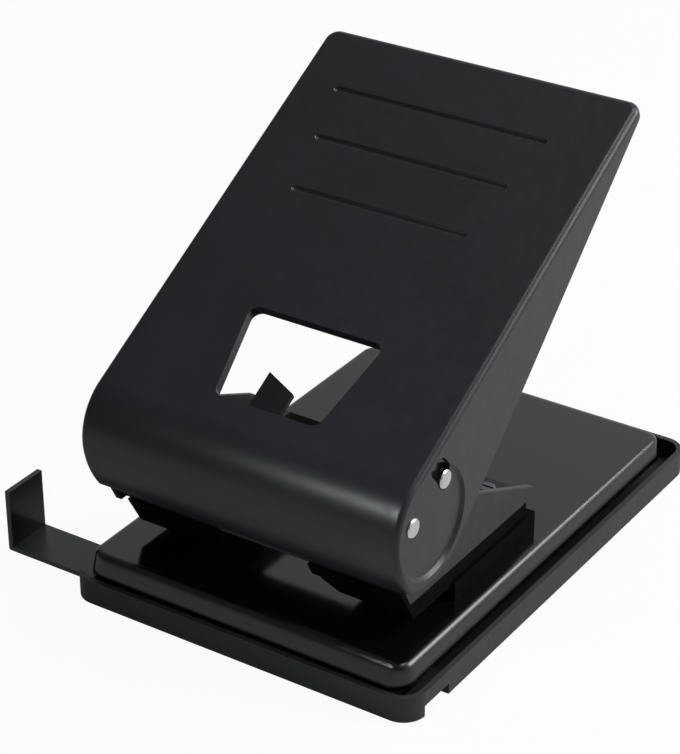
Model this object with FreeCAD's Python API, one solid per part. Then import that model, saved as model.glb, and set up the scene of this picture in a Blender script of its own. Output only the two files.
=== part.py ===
import FreeCAD, Part
import math
import os
from FreeCAD import Vector

# Manual two-hole desk punch with a broad pressed lever, a glossy stamped base plate, a plastic
# chip tray that hinges open at the rear and a paper guide bar that slides out to the left.
#
# Frame: X to the right, Y to the rear, Z up, millimetres.  The origin lies in the plane of the
# table, below the middle of the chip tray.  Stations along Y are given from the front edge of
# the tray and turned into Y by from_front().

# ---- paper and punching ----
HOLE_SPACING = 80.0
HOLE_DIAMETER = 6.0
HOLE_TO_PAPER_EDGE = 12.0
PAPER_THROAT = 6.5
PUNCH_FROM_FRONT = 40.4
RUNNING_FIT = 0.06

# ---- chip tray ----
TRAY_WIDTH = 155.2
TRAY_DEPTH = 216.0
TRAY_HEIGHT = 11.0
TRAY_CORNER = 9.5
TRAY_WALL = 2.2
TRAY_FLOOR = 2.2
TRAY_EDGE_ROUND = 0.4
FINGER_NOTCH_LENGTH = 16.5
FINGER_NOTCH_DEPTH = 6.0
FINGER_NOTCH_HEIGHT = 5.0
FINGER_NOTCH_FROM_FRONT = 9.0
FOOT_DIAMETER = 12.0
FOOT_HEIGHT = 1.8
FOOT_PROUD = 0.25
FOOT_INSET = 17.0

# ---- rear tray hinge ----
HINGE_FROM_REAR = 5.6
HINGE_HEIGHT = 8.0
HINGE_PIN_DIAMETER = 3.0
HINGE_KNUCKLE_RADIUS = 2.7
HINGE_OFFSET = 48.0
HINGE_LEAF_WIDTH = 9.0
HINGE_LEAF_THICKNESS = 2.0
HINGE_LEAF_LENGTH = 24.0
HINGE_EAR_WIDTH = 5.0
HINGE_SIDE_GAP = 0.4

# ---- base plate ----
PLATE_TOP = 20.5
PLATE_SHEET = 1.6
PLATE_SKIRT_GAP = 0.4
PLATE_SIDE_INSET = 6.8
PLATE_FRONT_INSET = 5.6
PLATE_REAR_INSET = 14.0
PLATE_SKIRT_FLARE = 3.0
PLATE_SIDE_FLARE = 1.8
PLATE_CORNER = 5.5
PLATE_EDGE_ROUND = 1.8

# ---- support blocks that carry the frame and guide the punches ----
BLOCK_INNER = 24.0
BLOCK_SETBACK = 4.1
BLOCK_FRONT = 25.8
BLOCK_REAR = 106.5
BLOCK_NOSE_FRONT = 18.5
BLOCK_CHAMFER = 6.0
BLOCK_LEDGE = 1.2
BLOCK_LEDGE_HEIGHT = 8.0
BLOCK_HEEL = 5.0
BLOCK_LUG_WIDTH = 3.6
BLOCK_LUG_HEIGHT = 6.0
BLOCK_LUG_LENGTH = 5.0
BLOCK_POCKET_WALL = 4.0
BLOCK_POCKET_FRONT = 70.0
BLOCK_POCKET_REAR = 90.0

# ---- pressed frame: two cheeks joined by a web ----
FRAME_BOTTOM = 40.0
FRAME_SHEET = 2.5
CHEEK_GAP = 1.7
CHEEK_TIP_FROM_FRONT = 16.8
CHEEK_CHIN = (12.4, 48.5)
CHEEK_REAR = 105.5
CHEEK_REAR_HEIGHT = 3.9
CHEEK_REAR_CORNER = 3.0
CHEEK_SLOPE_TOP = (45.0, 70.8)
CHEEK_EDGE_ROUND = 0.8
PIVOT_EAR_RADIUS = 8.5
STOP_EAR_RADIUS = 5.6
WEB_FRONT = 20.0
WEB_TONGUE_WIDTH = 18.6

# ---- pivot and stop ----
PIVOT_FROM_FRONT = 13.8
PIVOT_HEIGHT = 74.8
PIVOT_DIAMETER = 7.5
STOP_RADIUS = 23.0
STOP_ANGLE = 24.1
STOP_HEAD_DIAMETER = 10.6
STOP_HEAD_HEIGHT = 1.8
PIN_END_PROUD = 0.7
LEVER_TRAVEL = 22.0
SLOT_CLEARANCE = 0.3
PIVOT_CLEARANCE = 0.1

# ---- lever ----
LEVER_WIDTH = 139.6
LEVER_SHEET = 2.0
LEVER_END = (171.1, 178.9)
LEVER_LIP = 3.2
LEVER_CORNER = 5.5
LEVER_BEND = 2.5
NOSE_CENTRE = (25.2, 71.15)
NOSE_RADIUS = 23.5
SKIRT_START_ANGLE = 190.0
SKIRT_RADIUS = 43.3
SKIRT_TURN = 25.4
FLANGE_RADIUS = 24.2
DISC_RADIUS = 21.9
DISC_DEPTH = 1.2
DISC_WALL_RUN = 1.4
WINDOW_TOP_HALF = 29.6
WINDOW_BOTTOM_HALF = 22.6
WINDOW_FROM_FRONT = (22.4, 57.2)
WINDOW_CORNER = 4.0
WINDOW_RETURN = 4.5
WINDOW_EDGE_ROUND = 0.8
GROOVE_STATIONS = (146.4, 125.8, 103.9)
GROOVE_HALF_LENGTHS = (45.9, 41.1, 37.2)
GROOVE_MIDDLE_X = -4.4
GROOVE_CUTTER_RADIUS = 2.0
GROOVE_DEPTH = 0.9

# ---- press bar and its brackets ----
PRESS_BAR_DIAMETER = 9.0
PRESS_BAR_HEIGHT = 71.8
PRESS_BAR_END = 1.8
PRESS_GAP = 0.2
BRACKET_GAP = 4.0
BRACKET_SHEET = 2.5
BRACKET_BOSS_RADIUS = 8.0
BRACKET_FOOT = (46.0, 66.0)
BRACKET_FOOT_WIDTH = 7.0
CLIP_THICKNESS = 1.2
CLIP_DIAMETER = 14.0

# ---- centre bracket seen through the window ----
CENTRE_HALF = 6.8
CENTRE_X = -3.2
CENTRE_SHEET = 2.0
CENTRE_FRONT = 15.0
CENTRE_WINDOW_GAP = 0.3
CENTRE_TONGUE_REAR = 38.0
CENTRE_TONGUE_SLANT = 5.0

# ---- punches, bushes and springs ----
PUNCH_REST_GAP = 1.0
PUNCH_HEAD_DIAMETER = 12.0
PUNCH_HEAD_HEIGHT = 3.8
PUNCH_TIP_HOLLOW = 7.0
PUNCH_TIP_DEPTH = 1.0
BUSH_DIAMETER = 12.0
BUSH_FLANGE_DIAMETER = 16.0
BUSH_FLANGE_HEIGHT = 2.0
BUSH_SPIGOT_DIAMETER = 9.0
BUSH_SPIGOT_HEIGHT = 3.5
SPRING_WIRE = 1.3
SPRING_MEAN_DIAMETER = 10.6
SPRING_TURNS = 5.5
DIE_DIAMETER = 13.0
DIE_FLANGE_DIAMETER = 17.0
DIE_FLANGE_HEIGHT = 3.2
DIE_LAND = 2.6
DIE_RELIEF_DIAMETER = 8.5
SEAT_GAP = 0.03

# ---- screws ----
SCREW_DIAMETER = 4.0
SCREW_HEAD_DIAMETER = 7.0
SCREW_HEAD_HEIGHT = 2.4
SCREW_LENGTH = 9.0
SCREW_FROM_BLOCK_INNER = 5.0
SCREW_FROM_CHEEK_FRONT = 9.6
SCREW_FROM_CHEEK_REAR = 12.1
FRAME_SCREW_STATIONS = (47.4, 27.4, 94.0)
BASE_SCREW_STATIONS = (62.0, 98.0)

# ---- paper guide ----
GUIDE_TOP = 9.2
GUIDE_THICKNESS = 2.0
GUIDE_FRONT = 4.4
GUIDE_WIDTH = 19.8
GUIDE_END_LAND = 10.2
GUIDE_OUT = 111.2
GUIDE_STOP_HEIGHT = 34.0
GUIDE_STOP_THICKNESS = 2.2
GUIDE_TRAVEL_IN = 34.0
GUIDE_TRAVEL_OUT = 36.7
GUIDE_BEND = 1.0
GUIDE_NOTCH_GAP = 0.5
GUIDE_POST_X = -20.0
GUIDE_POST_DIAMETER = 5.0
GUIDE_POST_HEAD_DIAMETER = 11.0
GUIDE_POST_HEAD_HEIGHT = 1.6
GUIDE_PLAY = 0.2
GUIDE_SLOT_GAP = 0.2
KEEPER_X = -60.0
KEEPER_WIDTH = 12.0
KEEPER_SHEET = 1.6
KEEPER_LIP = 9.0

# ---- derived planes and places ----
LEVER_RUN = (LEVER_END[0] - NOSE_CENTRE[0], LEVER_END[1] - NOSE_CENTRE[1])
LEVER_LEAN = math.asin(NOSE_RADIUS / math.hypot(*LEVER_RUN))
LEVER_SLOPE = math.degrees(math.atan2(LEVER_RUN[1], LEVER_RUN[0]) - LEVER_LEAN)
HALF_DEPTH = TRAY_DEPTH / 2
PUNCH_X = HOLE_SPACING / 2
PLATE_UNDER = PLATE_TOP - PLATE_SHEET
PLATE_BOTTOM = TRAY_HEIGHT + PLATE_SKIRT_GAP
THROAT_TOP = PLATE_TOP + PAPER_THROAT
THROAT_REAR = PUNCH_FROM_FRONT + HOLE_TO_PAPER_EDGE
WEB_TOP = FRAME_BOTTOM + FRAME_SHEET
FLANGE_INNER = LEVER_WIDTH / 2 - LEVER_SHEET
CHEEK_OUTER = FLANGE_INNER - CHEEK_GAP
CHEEK_INNER = CHEEK_OUTER - FRAME_SHEET
BLOCK_OUTER = CHEEK_OUTER - BLOCK_SETBACK
FRAME_SCREW_PLACES = (
    (BLOCK_INNER + SCREW_FROM_BLOCK_INNER, FRAME_SCREW_STATIONS[0]),
    (CHEEK_INNER - SCREW_FROM_CHEEK_FRONT, FRAME_SCREW_STATIONS[1]),
    (CHEEK_INNER - SCREW_FROM_CHEEK_REAR, FRAME_SCREW_STATIONS[2]),
)
BASE_SCREW_PLACES = [((BLOCK_INNER + BLOCK_OUTER) / 2, at) for at in BASE_SCREW_STATIONS]
BRACKET_INNER = PUNCH_X + PUNCH_HEAD_DIAMETER / 2 + BRACKET_GAP
PRESS_BAR_HALF = BRACKET_INNER + BRACKET_SHEET + CLIP_THICKNESS + PRESS_BAR_END
PIN_END = LEVER_WIDTH / 2 - DISC_DEPTH + PIN_END_PROUD
GUIDE_BOTTOM = GUIDE_TOP - GUIDE_THICKNESS
BUSH_TOP = WEB_TOP + BUSH_FLANGE_HEIGHT
PUNCH_TOP = PRESS_BAR_HEIGHT - PRESS_BAR_DIAMETER / 2 - PRESS_GAP
PUNCH_TIP = THROAT_TOP + PUNCH_REST_GAP
SPRING_SEAT = PUNCH_TOP - PUNCH_HEAD_HEIGHT
X_AXIS = Vector(1, 0, 0)
Z_AXIS = Vector(0, 0, 1)


def from_front(distance):
    """Y of a station measured from the front edge of the tray."""
    return distance - HALF_DEPTH


def point(station, height, x=0.0):
    return Vector(x, from_front(station), height)


def polar(centre, radius, degrees):
    """(station, height) at an angle about centre, counted from the rear towards up."""
    angle = math.radians(degrees)
    return centre[0] + radius * math.cos(angle), centre[1] + radius * math.sin(angle)


# ---------------------------------------------------------------- outline helpers
def tangent_points(first, second):
    """Ends of the outer tangent that keeps both circles (centre, radius) on its left."""
    (ax, ay), ra = first
    (bx, by), rb = second
    run = math.atan2(by - ay, bx - ax)
    lean = math.asin((ra - rb) / math.hypot(bx - ax, by - ay))
    normal = run - math.pi / 2 + lean
    unit = (math.cos(normal), math.sin(normal))
    return (ax + ra * unit[0], ay + ra * unit[1]), (bx + rb * unit[0], by + rb * unit[1])


def wrapped_face(circles):
    """Face in a plane of constant X bounded by a band wrapped round circles, in order.

    Each entry is ((station, height), radius); a radius of zero gives a sharp corner.
    """
    count = len(circles)
    lines = [tangent_points(circles[i], circles[(i + 1) % count]) for i in range(count)]
    edges = []
    for i in range(count):
        start, end = lines[i]
        edges.append(Part.LineSegment(point(*start), point(*end)).toShape())
        centre, radius = circles[(i + 1) % count]
        following = lines[(i + 1) % count][0]
        if radius > 0:
            a0 = math.atan2(end[1] - centre[1], end[0] - centre[0])
            a1 = math.atan2(following[1] - centre[1], following[0] - centre[0])
            a1 += 2 * math.pi if a1 < a0 else 0
            middle = polar(centre, radius, math.degrees((a0 + a1) / 2))
            edges.append(Part.Arc(point(*end), point(*middle), point(*following)).toShape())
    return Part.Face(Part.Wire(edges))


def straight(start, end):
    return Part.LineSegment(point(*start), point(*end)).toShape()


def round_edge(centre, radius, start_angle, end_angle):
    """Arc about (station, height) centre between two angles."""
    angles = (start_angle, (start_angle + end_angle) / 2, end_angle)
    return Part.Arc(*[point(*polar(centre, radius, angle)) for angle in angles]).toShape()


def plate_across(face, x_from, x_to):
    """Solid made by sweeping a face of constant X from x_from to x_to."""
    moved = face.copy()
    moved.translate(Vector(x_from, 0, 0))
    return moved.extrude(Vector(x_to - x_from, 0, 0))


def profile(points):
    """Sharp-cornered face in a plane of constant X from (station, height) pairs."""
    corners = [point(*p) for p in points]
    return Part.Face(Part.makePolygon(corners + [corners[0]]))


def cross_cylinder(centre, radius, x_from, x_to):
    """Cylinder along X round (station, height)."""
    return Part.makeCylinder(radius, x_to - x_from, point(*centre, x_from), X_AXIS)


def box(x_range, station_range, height_range):
    size = [r[1] - r[0] for r in (x_range, station_range, height_range)]
    return Part.makeBox(*size, point(station_range[0], height_range[0], x_range[0]))


def rounded_wire(half_width, front, rear, corner, height):
    """Closed rectangle with round corners at one height, between two Y stations."""
    x, y0, y1, r = half_width, from_front(front), from_front(rear), corner
    k = r * (1 - math.sqrt(0.5))
    line, arc = Part.LineSegment, Part.Arc

    def at(px, py):
        return Vector(px, py, height)

    edges = [
        line(at(-x + r, y0), at(x - r, y0)),
        arc(at(x - r, y0), at(x - k, y0 + k), at(x, y0 + r)),
        line(at(x, y0 + r), at(x, y1 - r)),
        arc(at(x, y1 - r), at(x - k, y1 - k), at(x - r, y1)),
        line(at(x - r, y1), at(-x + r, y1)),
        arc(at(-x + r, y1), at(-x + k, y1 - k), at(-x, y1 - r)),
        line(at(-x, y1 - r), at(-x, y0 + r)),
        arc(at(-x, y0 + r), at(-x + k, y0 + k), at(-x + r, y0)),
    ]
    return Part.Wire([edge.toShape() for edge in edges])


def rounded_block(half_width, front, rear, corner, bottom, top):
    face = Part.Face(rounded_wire(half_width, front, rear, corner, bottom))
    return face.extrude(Vector(0, 0, top - bottom))


def mirrored(shape):
    return shape.mirror(Vector(0, 0, 0), X_AXIS)


def both_sides(shape):
    return Part.makeCompound([shape, mirrored(shape)])


def turned(x, station, steps):
    """Solid turned about a vertical axis from (radius, height) steps, axis side open."""
    bottom, top = steps[0][1], steps[-1][1]
    outline = [(0.0, bottom)] + list(steps) + [(0.0, top)]
    corners = [Vector(r, 0, z) for r, z in outline]
    face = Part.Face(Part.makePolygon(corners + [corners[0]]))
    solid = face.revolve(Vector(0, 0, 0), Z_AXIS, 360)
    solid.translate(Vector(x, from_front(station), 0))
    return solid


def pan_screw(x, station, seat, up):
    """Pan-head screw whose head sits on height seat; up is +1 with the head on top."""
    shank = Part.makeCylinder(SCREW_DIAMETER / 2, SCREW_LENGTH, Vector(0, 0, -SCREW_LENGTH))
    head = Part.makeCylinder(SCREW_HEAD_DIAMETER / 2, SCREW_HEAD_HEIGHT)
    rim = max(head.Edges, key=lambda edge: edge.BoundBox.ZMin)
    head = head.makeFillet(SCREW_HEAD_HEIGHT / 3, [rim])
    slot_width = SCREW_DIAMETER / 4
    slot = Part.makeBox(SCREW_HEAD_DIAMETER, slot_width, SCREW_HEAD_HEIGHT)
    slot.translate(Vector(-SCREW_HEAD_DIAMETER / 2, -slot_width / 2, SCREW_HEAD_HEIGHT / 2))
    screw = head.cut(slot).fuse(shank).removeSplitter()
    if up < 0:
        screw.rotate(Vector(0, 0, 0), X_AXIS, 180)
    screw.translate(Vector(x, from_front(station), seat))
    return screw


def screw_hole(x, station, seat, up):
    """Clearance for the shank of pan_screw, a little deeper than the shank."""
    depth = SCREW_LENGTH + SCREW_DIAMETER / 4
    low = seat - depth if up > 0 else seat
    hole = Part.makeCylinder(SCREW_DIAMETER / 2 + SEAT_GAP, depth)
    hole.translate(Vector(x, from_front(station), low))
    return hole


# ---------------------------------------------------------------- lever geometry
def on_face(station, depth=0.0):
    """(station, height) on the lever's face, moved depth mm into the sheet."""
    slope = math.radians(LEVER_SLOPE)
    height = LEVER_END[1] + math.tan(slope) * (station - LEVER_END[0])
    return station + depth * math.sin(slope), height - depth * math.cos(slope)


def face_block(outline, depth_from, depth_to):
    """Prism cut square to the lever's face; outline is a list of (x, station) corners."""
    corners = []
    for x, station in outline:
        corners.append(point(*on_face(station, depth_from), x))
    start = Part.Face(Part.makePolygon(corners + [corners[0]]))
    sweep = point(*on_face(0.0, depth_to)) - point(*on_face(0.0, depth_from))
    return start.extrude(sweep)


def square_edges(solid, direction):
    """Straight edges of a solid that run along direction."""
    found = []
    for edge in solid.Edges:
        if edge.Curve.TypeId == "Part::GeomLine":
            if edge.tangentAt(edge.FirstParameter).cross(direction).Length < 0.001:
                found.append(edge)
    return found


def face_normal():
    slope = math.radians(LEVER_SLOPE)
    return Vector(0, -math.sin(slope), math.cos(slope))


def window_block(grow, depth_from, depth_to):
    """The window's prism, grown by grow on every side."""
    low, high = WINDOW_FROM_FRONT
    shift = grow * math.cos(math.radians(LEVER_SLOPE))
    outline = [
        (-WINDOW_BOTTOM_HALF - grow, low - shift),
        (WINDOW_BOTTOM_HALF + grow, low - shift),
        (WINDOW_TOP_HALF + grow, high + shift),
        (-WINDOW_TOP_HALF - grow, high + shift),
    ]
    block = face_block(outline, depth_from, depth_to)
    return block.makeFillet(WINDOW_CORNER + grow, square_edges(block, face_normal()))


def skirt_centre():
    """Centre of the flatter arc that the nose rolls into below the front."""
    return polar(NOSE_CENTRE, SKIRT_RADIUS - NOSE_RADIUS, SKIRT_START_ANGLE - 180)


def skirt_end(inset):
    """(station, height) of the nose's lower edge, inset into the sheet."""
    return polar(skirt_centre(), SKIRT_RADIUS - inset, SKIRT_START_ANGLE + SKIRT_TURN)


def lever_outline(inset, lip_depth):
    """Side profile: the face rolled round the nose, and a lip of lip_depth at the rear end."""
    slope = math.radians(LEVER_SLOPE)
    end = on_face(LEVER_END[0] - inset * math.cos(slope), inset)
    lip = (end[0] + lip_depth * math.sin(slope), end[1] - lip_depth * math.cos(slope))
    flange = (NOSE_CENTRE, FLANGE_RADIUS - inset)
    chin, turn_in = tangent_points((skirt_end(inset), 0.0), flange)
    turn_out, lip = tangent_points(flange, (lip, 0.0))
    nose, skirt = NOSE_RADIUS - inset, SKIRT_RADIUS - inset
    face_angle = LEVER_SLOPE + 90
    bottom_start = math.degrees(math.atan2(turn_in[1] - NOSE_CENTRE[1], turn_in[0] - NOSE_CENTRE[0]))
    bottom_end = math.degrees(math.atan2(turn_out[1] - NOSE_CENTRE[1], turn_out[0] - NOSE_CENTRE[0]))
    edges = [
        straight(end, polar(NOSE_CENTRE, nose, face_angle)),
        round_edge(NOSE_CENTRE, nose, face_angle, SKIRT_START_ANGLE),
        round_edge(skirt_centre(), skirt, SKIRT_START_ANGLE, SKIRT_START_ANGLE + SKIRT_TURN),
        straight(chin, turn_in),
        round_edge(NOSE_CENTRE, flange[1], bottom_start, bottom_end),
        straight(turn_out, lip),
        straight(lip, end),
    ]
    return Part.Face(Part.Wire(edges))


def lever_body(inset):
    """The lever's rounded form, much deeper than the lever, or with inset its hollow."""
    half = LEVER_WIDTH / 2 - inset
    body = plate_across(lever_outline(inset, NOSE_RADIUS * 3), -half, half)
    normal = face_normal()
    corners = [e for e in square_edges(body, normal) if e.BoundBox.ZMax > LEVER_END[1] / 2]
    body = body.makeFillet(LEVER_CORNER - inset, corners)
    rims = []
    for edge in body.Edges:
        depth = (point(*on_face(0.0)) - edge.CenterOfMass).dot(normal)
        if abs(depth - inset) < 0.01 and edge.BoundBox.ZMax > LEVER_END[1] / 2:
            rims.append(edge)
    return body.makeFillet(LEVER_BEND - inset, rims)


def nose_opening():
    """Clears the rolled nose behind the skirt's lower edge, between the flanges."""
    reach = NOSE_RADIUS * 3
    edge = skirt_end(0)
    start = math.degrees(math.atan2(edge[1] - NOSE_CENTRE[1], edge[0] - NOSE_CENTRE[0]))
    corners = [NOSE_CENTRE]
    for turn in (0, 45, 90):
        corners.append(polar(NOSE_CENTRE, reach, start + turn))
    return plate_across(profile(corners), -FLANGE_INNER, FLANGE_INNER)


def disc_recess():
    """Round recess pressed into the right flange, with a sloped wall."""
    outer = LEVER_WIDTH / 2
    floor = DISC_RADIUS - DISC_WALL_RUN
    start = point(*NOSE_CENTRE, outer - DISC_DEPTH)
    return Part.makeCone(floor, DISC_RADIUS, DISC_DEPTH, start, X_AXIS)


def disc_back():
    """The same pressing where it stands inwards of the right flange."""
    radius = NOSE_RADIUS - LEVER_SHEET
    return cross_cylinder(NOSE_CENTRE, radius, FLANGE_INNER - DISC_DEPTH, FLANGE_INNER)


def arc_slot(radius, start, end, width, x_from, x_to):
    """Curved slot about the lever's pivot."""
    pivot = (PIVOT_FROM_FRONT, PIVOT_HEIGHT)
    half = width / 2
    middle = (start + end) / 2

    def spot(distance, angle):
        return point(*polar(pivot, distance, angle))

    def cap(angle, sign):
        tip = polar(polar(pivot, radius, angle), half, angle + 90 * sign)
        ends = (spot(radius + half, angle), spot(radius - half, angle))
        return Part.Arc(ends[0], point(*tip), ends[1]).toShape()

    def run(distance):
        return Part.Arc(spot(distance, start), spot(distance, middle), spot(distance, end)).toShape()

    edges = [run(radius + half), cap(end, 1), run(radius - half), cap(start, -1)]
    wire = Part.Wire(Part.__sortEdges__(edges))
    return plate_across(Part.Face(wire), x_from, x_to)


def groove(station, half_length):
    """Round-ended pressed line across the lever's face."""
    lift = GROOVE_CUTTER_RADIUS - GROOVE_DEPTH
    centre = on_face(station, -lift)
    ends = [point(*centre, GROOVE_MIDDLE_X + side * half_length) for side in (-1, 1)]
    bar = Part.makeCylinder(GROOVE_CUTTER_RADIUS, 2 * half_length, ends[0], X_AXIS)
    return bar.fuse([Part.makeSphere(GROOVE_CUTTER_RADIUS, end) for end in ends])


def make_lever():
    half = LEVER_WIDTH / 2
    shell = lever_body(0).common(plate_across(lever_outline(0, LEVER_LIP), -half, half))
    shell = shell.cut([lever_body(LEVER_SHEET), nose_opening()])
    ring = window_block(LEVER_SHEET, LEVER_SHEET / 2, WINDOW_RETURN)
    backs = disc_back()
    shell = shell.fuse([ring, backs, mirrored(backs)])
    window = window_block(0, -LEVER_SHEET, WINDOW_RETURN + LEVER_SHEET)
    outside = half + LEVER_SHEET
    inside = FLANGE_INNER - 2 * DISC_DEPTH
    hole = cross_cylinder(
        (PIVOT_FROM_FRONT, PIVOT_HEIGHT), PIVOT_DIAMETER / 2 + PIVOT_CLEARANCE, inside, outside
    )
    slot = arc_slot(
        STOP_RADIUS,
        STOP_ANGLE,
        STOP_ANGLE + LEVER_TRAVEL,
        PIVOT_DIAMETER + 2 * SLOT_CLEARANCE,
        inside,
        outside,
    )
    cuts = [window]
    for side in (disc_recess(), hole, slot):
        cuts += [side, mirrored(side)]
    for station, half_length in zip(GROOVE_STATIONS, GROOVE_HALF_LENGTHS):
        cuts.append(groove(station, half_length))
    return shell.cut(cuts)


def make_press_bracket():
    """Right bracket: a plate with an eye for the press bar and a foot under the lever."""
    foot = [on_face(station, LEVER_SHEET) for station in BRACKET_FOOT]
    bar = (PUNCH_FROM_FRONT, PRESS_BAR_HEIGHT)
    plate = wrapped_face([(bar, BRACKET_BOSS_RADIUS), (foot[1], 0.0), (foot[0], 0.0)])
    web = plate_across(plate, BRACKET_INNER, BRACKET_INNER + BRACKET_SHEET)
    outline = [
        (BRACKET_INNER, BRACKET_FOOT[0]),
        (BRACKET_INNER + BRACKET_FOOT_WIDTH, BRACKET_FOOT[0]),
        (BRACKET_INNER + BRACKET_FOOT_WIDTH, BRACKET_FOOT[1]),
        (BRACKET_INNER, BRACKET_FOOT[1]),
    ]
    strip = face_block(outline, LEVER_SHEET, LEVER_SHEET + BRACKET_SHEET)
    reach = BRACKET_INNER + BRACKET_SHEET * 2
    eye = cross_cylinder(bar, PRESS_BAR_DIAMETER / 2 + SEAT_GAP, BRACKET_INNER - BRACKET_SHEET, reach)
    return web.fuse(strip).cut(eye).removeSplitter()


def make_press_bar():
    bar = cross_cylinder(
        (PUNCH_FROM_FRONT, PRESS_BAR_HEIGHT), PRESS_BAR_DIAMETER / 2, -PRESS_BAR_HALF, PRESS_BAR_HALF
    )
    rims = [edge for edge in bar.Edges if abs(abs(edge.CenterOfMass.x) - PRESS_BAR_HALF) < 0.01]
    return bar.makeChamfer(0.5, rims)


def make_press_bar_clips():
    centre = (PUNCH_FROM_FRONT, PRESS_BAR_HEIGHT)
    start = BRACKET_INNER + BRACKET_SHEET
    ring = cross_cylinder(centre, CLIP_DIAMETER / 2, start, start + CLIP_THICKNESS)
    bore = cross_cylinder(centre, PRESS_BAR_DIAMETER / 2 + SEAT_GAP, start, start + CLIP_THICKNESS)
    gap_half = PRESS_BAR_DIAMETER / 3
    mouth = box(
        (start, start + CLIP_THICKNESS),
        (centre[0] - gap_half, centre[0] + gap_half),
        (centre[1] - CLIP_DIAMETER, centre[1]),
    )
    return both_sides(ring.cut([bore, mouth]))


def make_centre_bracket():
    """Folded strap under the lever's face whose slanted tongue stands in the window."""
    t = CENTRE_SHEET
    slope = math.radians(LEVER_SLOPE)
    rear = WINDOW_FROM_FRONT[0] - LEVER_SHEET * math.cos(slope) - CENTRE_WINDOW_GAP
    drop = WINDOW_RETURN + CENTRE_WINDOW_GAP
    side = profile(
        [
            on_face(CENTRE_FRONT, LEVER_SHEET),
            on_face(CENTRE_FRONT, LEVER_SHEET + t),
            on_face(rear - t, LEVER_SHEET + t),
            on_face(rear - t, drop + t),
            on_face(CENTRE_TONGUE_REAR, drop + t),
            on_face(CENTRE_TONGUE_REAR, drop),
            on_face(rear, drop),
            on_face(rear, LEVER_SHEET),
        ]
    )
    left, right = CENTRE_X - CENTRE_HALF, CENTRE_X + CENTRE_HALF
    strap = plate_across(side, left, right)
    slant = [
        (left, CENTRE_TONGUE_REAR),
        (right, CENTRE_TONGUE_REAR - CENTRE_TONGUE_SLANT),
        (right, CENTRE_TONGUE_REAR * 2),
        (left, CENTRE_TONGUE_REAR * 2),
    ]
    return strap.cut(face_block(slant, 0, drop + t * 2))


# ---------------------------------------------------------------- frame and base
def cheek_outline():
    stop = polar((PIVOT_FROM_FRONT, PIVOT_HEIGHT), STOP_RADIUS, STOP_ANGLE)
    ears = wrapped_face(
        [((PIVOT_FROM_FRONT, PIVOT_HEIGHT), PIVOT_EAR_RADIUS), (stop, STOP_EAR_RADIUS)]
    )
    tail = (CHEEK_REAR, FRAME_BOTTOM + CHEEK_REAR_HEIGHT)
    wedge = wrapped_face(
        [
            ((PIVOT_FROM_FRONT, PIVOT_HEIGHT), PIVOT_EAR_RADIUS),
            (CHEEK_CHIN, 0.0),
            ((CHEEK_TIP_FROM_FRONT, FRAME_BOTTOM), 0.0),
            ((CHEEK_REAR, FRAME_BOTTOM), 0.0),
            (tail, 0.0),
            (CHEEK_SLOPE_TOP, 0.0),
        ]
    )
    joined = ears.fuse(wedge).removeSplitter()
    return Part.Face(joined.Faces[0].OuterWire)


def make_cheek():
    """Right cheek: a flat plate with two ears, its tail corner and outer edge rounded."""
    solid = plate_across(cheek_outline(), CHEEK_INNER, CHEEK_OUTER)
    tail_height = FRAME_BOTTOM + CHEEK_REAR_HEIGHT
    tail = [e for e in square_edges(solid, X_AXIS) if abs(e.CenterOfMass.z - tail_height) < 0.01]
    solid = solid.makeFillet(CHEEK_REAR_CORNER, tail)
    rims = []
    for edge in solid.Edges:
        middle = edge.CenterOfMass
        slope = middle.y > from_front(CHEEK_SLOPE_TOP[0]) and middle.z > FRAME_BOTTOM + 1
        if slope and abs(middle.x - CHEEK_OUTER) < 0.01:
            rims.append(edge)
    solid = solid.makeFillet(CHEEK_EDGE_ROUND, rims)
    pivot = (PIVOT_FROM_FRONT, PIVOT_HEIGHT)
    stop = polar(pivot, STOP_RADIUS, STOP_ANGLE)
    radius = PIVOT_DIAMETER / 2 + SEAT_GAP
    ends = (CHEEK_INNER - FRAME_SHEET, CHEEK_OUTER + FRAME_SHEET)
    bores = [cross_cylinder(at, radius, *ends) for at in (pivot, stop)]
    return solid.cut(bores)


def make_punch_frame():
    cheek = make_cheek()
    web = box((-CHEEK_INNER, CHEEK_INNER), (WEB_FRONT, THROAT_REAR), (FRAME_BOTTOM, WEB_TOP))
    tongue = box(
        (CHEEK_INNER - WEB_TONGUE_WIDTH, CHEEK_INNER),
        (THROAT_REAR - FRAME_SHEET, CHEEK_REAR - FRAME_SHEET),
        (FRAME_BOTTOM, WEB_TOP),
    )
    frame = web.fuse([tongue, mirrored(tongue), cheek, mirrored(cheek)]).removeSplitter()
    cuts = []
    for x in (-PUNCH_X, PUNCH_X):
        bore = Part.makeCylinder(BUSH_DIAMETER / 2 + SEAT_GAP, FRAME_SHEET)
        bore.translate(Vector(x, from_front(PUNCH_FROM_FRONT), FRAME_BOTTOM))
        cuts.append(bore)
    for x, station in FRAME_SCREW_PLACES:
        cuts += [screw_hole(side * x, station, WEB_TOP, 1) for side in (-1, 1)]
    return frame.cut(cuts)


def make_frame_screws():
    screws = []
    for x, station in FRAME_SCREW_PLACES:
        screws += [pan_screw(side * x, station, WEB_TOP, 1) for side in (-1, 1)]
    return Part.makeCompound(screws)


def make_base_screws():
    screws = []
    for x, station in BASE_SCREW_PLACES:
        screws += [pan_screw(side * x, station, PLATE_UNDER, -1) for side in (-1, 1)]
    return Part.makeCompound(screws)


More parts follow.
